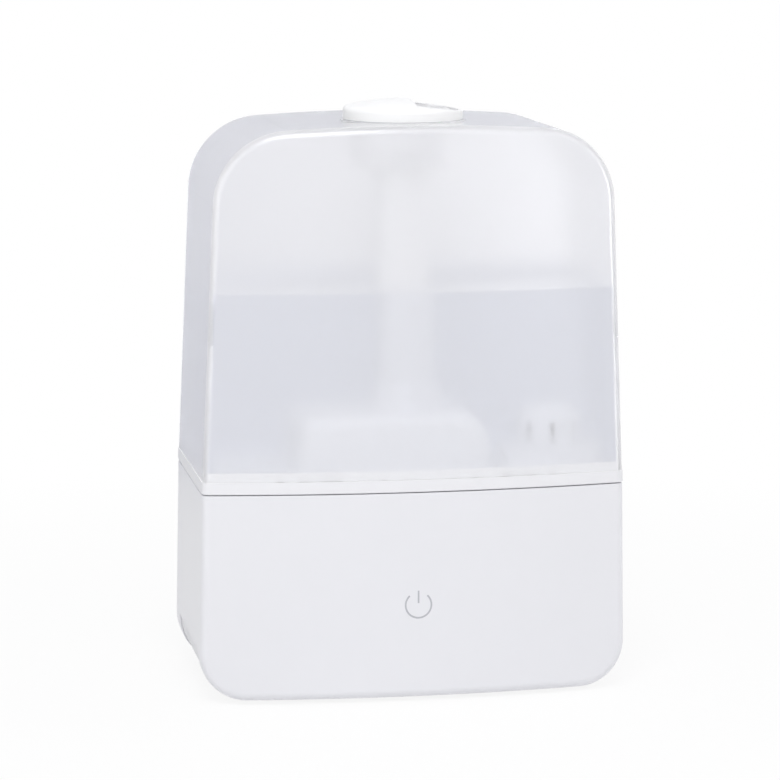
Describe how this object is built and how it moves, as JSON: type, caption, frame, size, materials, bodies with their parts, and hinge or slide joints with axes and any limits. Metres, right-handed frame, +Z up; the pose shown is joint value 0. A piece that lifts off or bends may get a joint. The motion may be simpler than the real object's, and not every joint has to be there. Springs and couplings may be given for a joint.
{
  "type": "cool mist humidifier",
  "caption": "Ultrasonic cool mist humidifier: frosted lift-off water tank with a turning mist outlet on a white base with basin, fan, mist transducer and touch power sign.",
  "frame": {"origin": "on the table under the middle of the overall box", "axes": "+Z up, -Y to the front with the power sign, +X to the right seen from the front"},
  "size_m": [0.1994, 0.1076, 0.2744],
  "materials": {
    "white_plastic": "satin gloss white",
    "cover_white": "matt white",
    "frosted_plastic": "frosted, see-through",
    "inner_white": "matt white",
    "grey_print": "matt grey",
    "foot_rubber": "matt grey",
    "silicone": "matt, slightly clear",
    "steel": "zinc plated",
    "disc_metal": "fine silver",
    "brass": "turned",
    "copper": "enamelled wire",
    "ferrite": "matt black",
    "black_plastic": "matt black",
    "board_green": "solder mask",
    "aluminium": "extruded",
    "can_blue": "sleeved",
    "connector_ivory": "matt ivory",
    "float_foam": "matt pale blue",
    "reed_glass": "clear",
    "lamp_lens": "diffused",
    "lead_black": "sheathed",
    "lead_grey": "sheathed"
  },
  "bodies": {
    "base": {"base_housing": "white_plastic", "power_symbol": "grey_print", "bottom_cover": "cover_white", "rubber_feet": "foot_rubber", "cover_screws": "steel", "basin_tray": "inner_white", "transducer_disc": "disc_metal", "transducer_gasket": "silicone", "transducer_clamp": "aluminium", "clamp_screws": "steel", "float_clip": "inner_white", "reed_switch": "reed_glass", "fan_frame": "black_plastic", "fan_bushing": "brass", "fan_stator": "copper", "air_funnel": "inner_white", "fan_screws": "steel", "main_board": "board_green", "board_screws": "steel", "heat_sink": "aluminium", "power_transistor": "black_plastic", "board_capacitors": "can_blue", "drive_coil": "ferrite", "control_chip": "black_plastic", "board_connectors": "connector_ivory", "touch_board": "board_green", "touch_screws": "steel", "touch_spring": "steel", "indicator_lamp": "lamp_lens", "power_jack": "black_plastic", "jack_lead": "lead_black", "fan_lead": "lead_black", "transducer_lead": "lead_grey", "touch_lead": "lead_grey"},
    "fan_rotor": {"fan_rotor": "black_plastic", "rotor_magnet": "ferrite", "fan_shaft": "steel"},
    "float": {"float_body": "float_foam", "float_magnet": "ferrite"},
    "tank": {"tank_shell": "frosted_plastic", "tank_floor": "inner_white", "mist_duct": "inner_white", "duct_seal": "silicone"},
    "filler_cap": {"filler_cap": "inner_white", "cap_seal": "silicone", "intake_strainer": "inner_white", "valve_spring": "steel"},
    "valve": {"valve_plunger": "inner_white", "valve_washer": "silicone"},
    "nozzle_collar": {"nozzle_collar": "white_plastic", "collar_seal": "silicone", "drip_baffle": "inner_white"},
    "nozzle_cap": {"nozzle_cap": "white_plastic"}
  },
  "joints": [
    {"name": "tank_lift", "type": "slide", "parent": "base", "child": "tank", "axis": [0, 0, 1], "range_m": [0, 0.12]},
    {"name": "cap_turn", "type": "hinge", "parent": "tank", "child": "filler_cap", "pos_m": [0.067, -0.007, 0.1], "axis": [0, 0, 1], "range_deg": [0, 60]},
    {"name": "valve_drop", "type": "slide", "parent": "filler_cap", "child": "valve", "axis": [0, 0, 1], "range_m": [-0.004, 0], "deforming": ["valve_spring"]},
    {"name": "nozzle_lift", "type": "slide", "parent": "tank", "child": "nozzle_collar", "axis": [0, 0, 1], "range_m": [0, 0.03]},
    {"name": "nozzle_turn", "type": "hinge", "parent": "nozzle_collar", "child": "nozzle_cap", "pos_m": [0, -0.01, 0.268], "axis": [0, 0, 1], "continuous": true},
    {"name": "float_rise", "type": "slide", "parent": "base", "child": "float", "axis": [0, 0, 1], "range_m": [0, 0.007]},
    {"name": "fan_spin", "type": "hinge", "parent": "base", "child": "fan_rotor", "pos_m": [-0.037, 0, 0.026], "axis": [0, 0, 1], "continuous": true}
  ],
  "couplings": [
    {"joint": "valve_drop", "follows": "tank_lift", "ratio": -0.0333}
  ]
}
